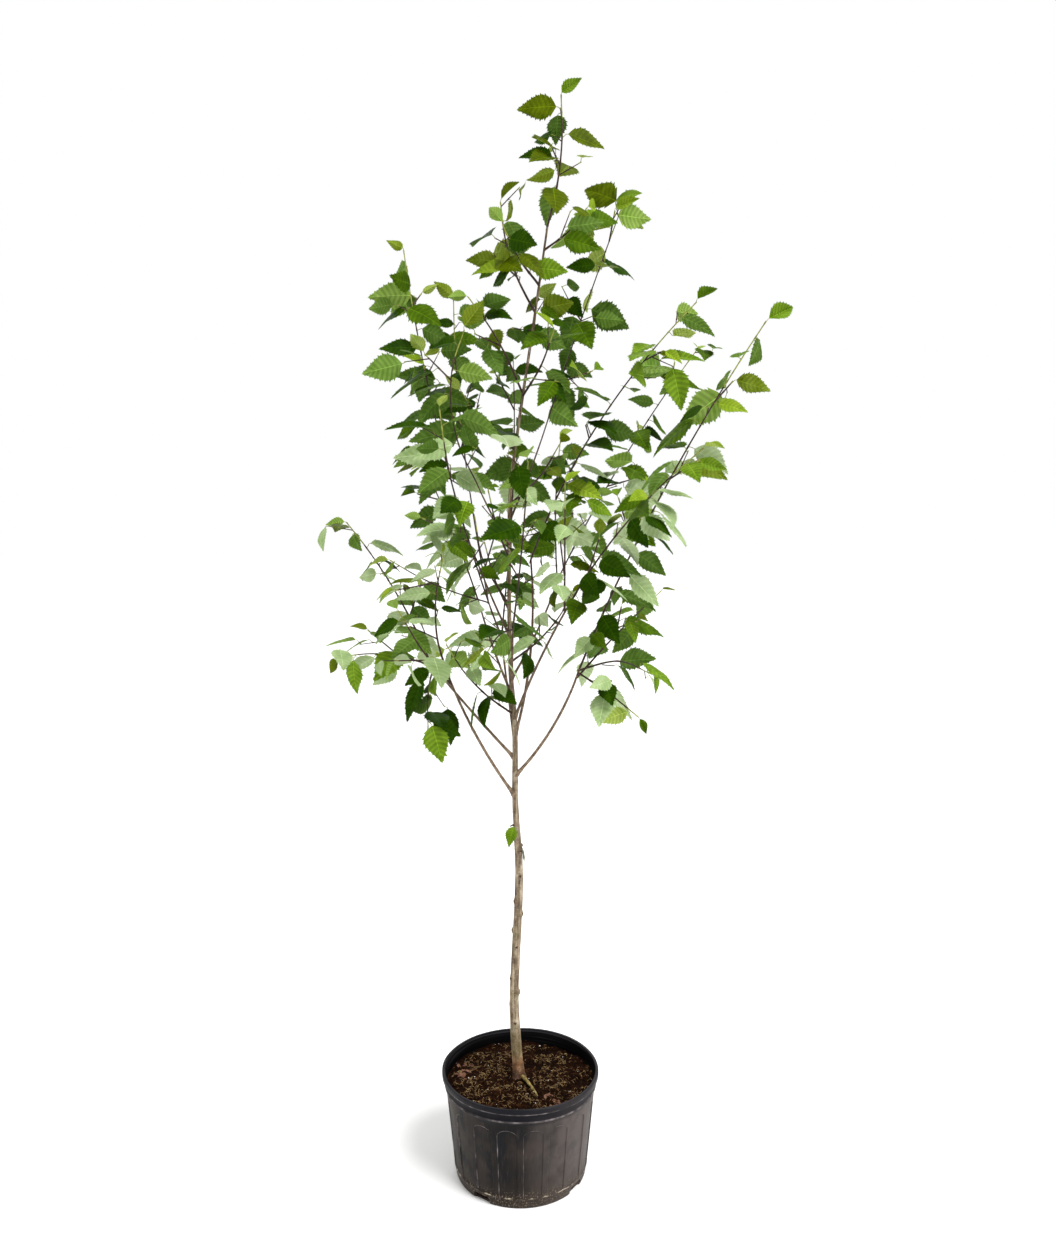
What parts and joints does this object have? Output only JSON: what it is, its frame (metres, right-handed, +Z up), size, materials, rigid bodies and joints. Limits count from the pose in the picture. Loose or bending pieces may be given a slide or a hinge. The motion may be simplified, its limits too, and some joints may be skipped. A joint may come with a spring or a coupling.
{
  "type": "river birch tree",
  "caption": "Young river birch with one slender trunk, spreading boughs and an open leafy crown, standing in a round black nursery pot of bark mix.",
  "frame": {"origin": "centre of the pot's flat underside, where it stands on the ground", "axes": "+Z up along the trunk, +X to the picture's right, -Y towards the picture's viewer"},
  "size_m": [0.8406, 0.7186, 2.033],
  "materials": {
    "black_pot_plastic": "moulded black nursery pot plastic, dull and scuffed",
    "bark_potting_mix": "moist composted bark and fibre, matt",
    "birch_bark": "thin tan-brown young birch bark, matt",
    "birch_foliage": "green leaves on thin twigs, satin"
  },
  "bodies": {
    "root": {"bough_back_high": "birch_bark", "bough_back_left": "birch_bark", "bough_back_low": "birch_bark", "bough_front": "birch_bark", "bough_front_left": "birch_bark", "bough_left_front": "birch_bark", "bough_left_high": "birch_bark", "bough_left_low": "birch_bark", "bough_left_upper": "birch_bark", "bough_right_back": "birch_bark", "bough_right_front": "birch_bark", "bough_right_high": "birch_bark", "bough_right_low": "birch_bark", "bough_right_mid": "birch_bark", "leader_left_mid": "birch_foliage", "leader_left_tip": "birch_foliage", "leader_left_up": "birch_foliage", "leader_right_tip": "birch_foliage", "leader_shoot_1": "birch_foliage", "leader_shoot_2": "birch_foliage", "leader_shoot_3": "birch_foliage", "leader_shoot_4": "birch_foliage", "leader_shoot_5": "birch_foliage", "leader_shoot_6": "birch_foliage", "leader_shoot_7": "birch_foliage", "leader_shoot_8": "birch_foliage", "leader_shoot_9": "birch_foliage", "leader_top": "birch_foliage", "leaf_on_trunk": "birch_foliage", "leaves_back_droop": "birch_foliage", "leaves_back_high": "birch_foliage", "leaves_back_left": "birch_foliage", "leaves_back_low": "birch_foliage", "leaves_front": "birch_foliage", "leaves_front_droop": "birch_foliage", "leaves_front_left": "birch_foliage", "leaves_front_right": "birch_foliage", "leaves_left_back": "birch_foliage", "leaves_left_droop": "birch_foliage", "leaves_left_front": "birch_foliage", "leaves_left_high": "birch_foliage", "leaves_left_long": "birch_foliage", "leaves_left_outer": "birch_foliage", "leaves_left_side": "birch_foliage", "leaves_left_tall": "birch_foliage", "leaves_left_up": "birch_foliage", "leaves_right_back": "birch_foliage", "leaves_right_droop": "birch_foliage", "leaves_right_front": "birch_foliage", "leaves_right_high": "birch_foliage", "leaves_right_inner": "birch_foliage", "leaves_right_mid": "birch_foliage", "leaves_right_outer": "birch_foliage", "leaves_right_side": "birch_foliage", "leaves_right_wing": "birch_foliage", "pot": "black_pot_plastic", "soil": "bark_potting_mix", "trunk": "birch_bark"}
  },
  "joints": []
}
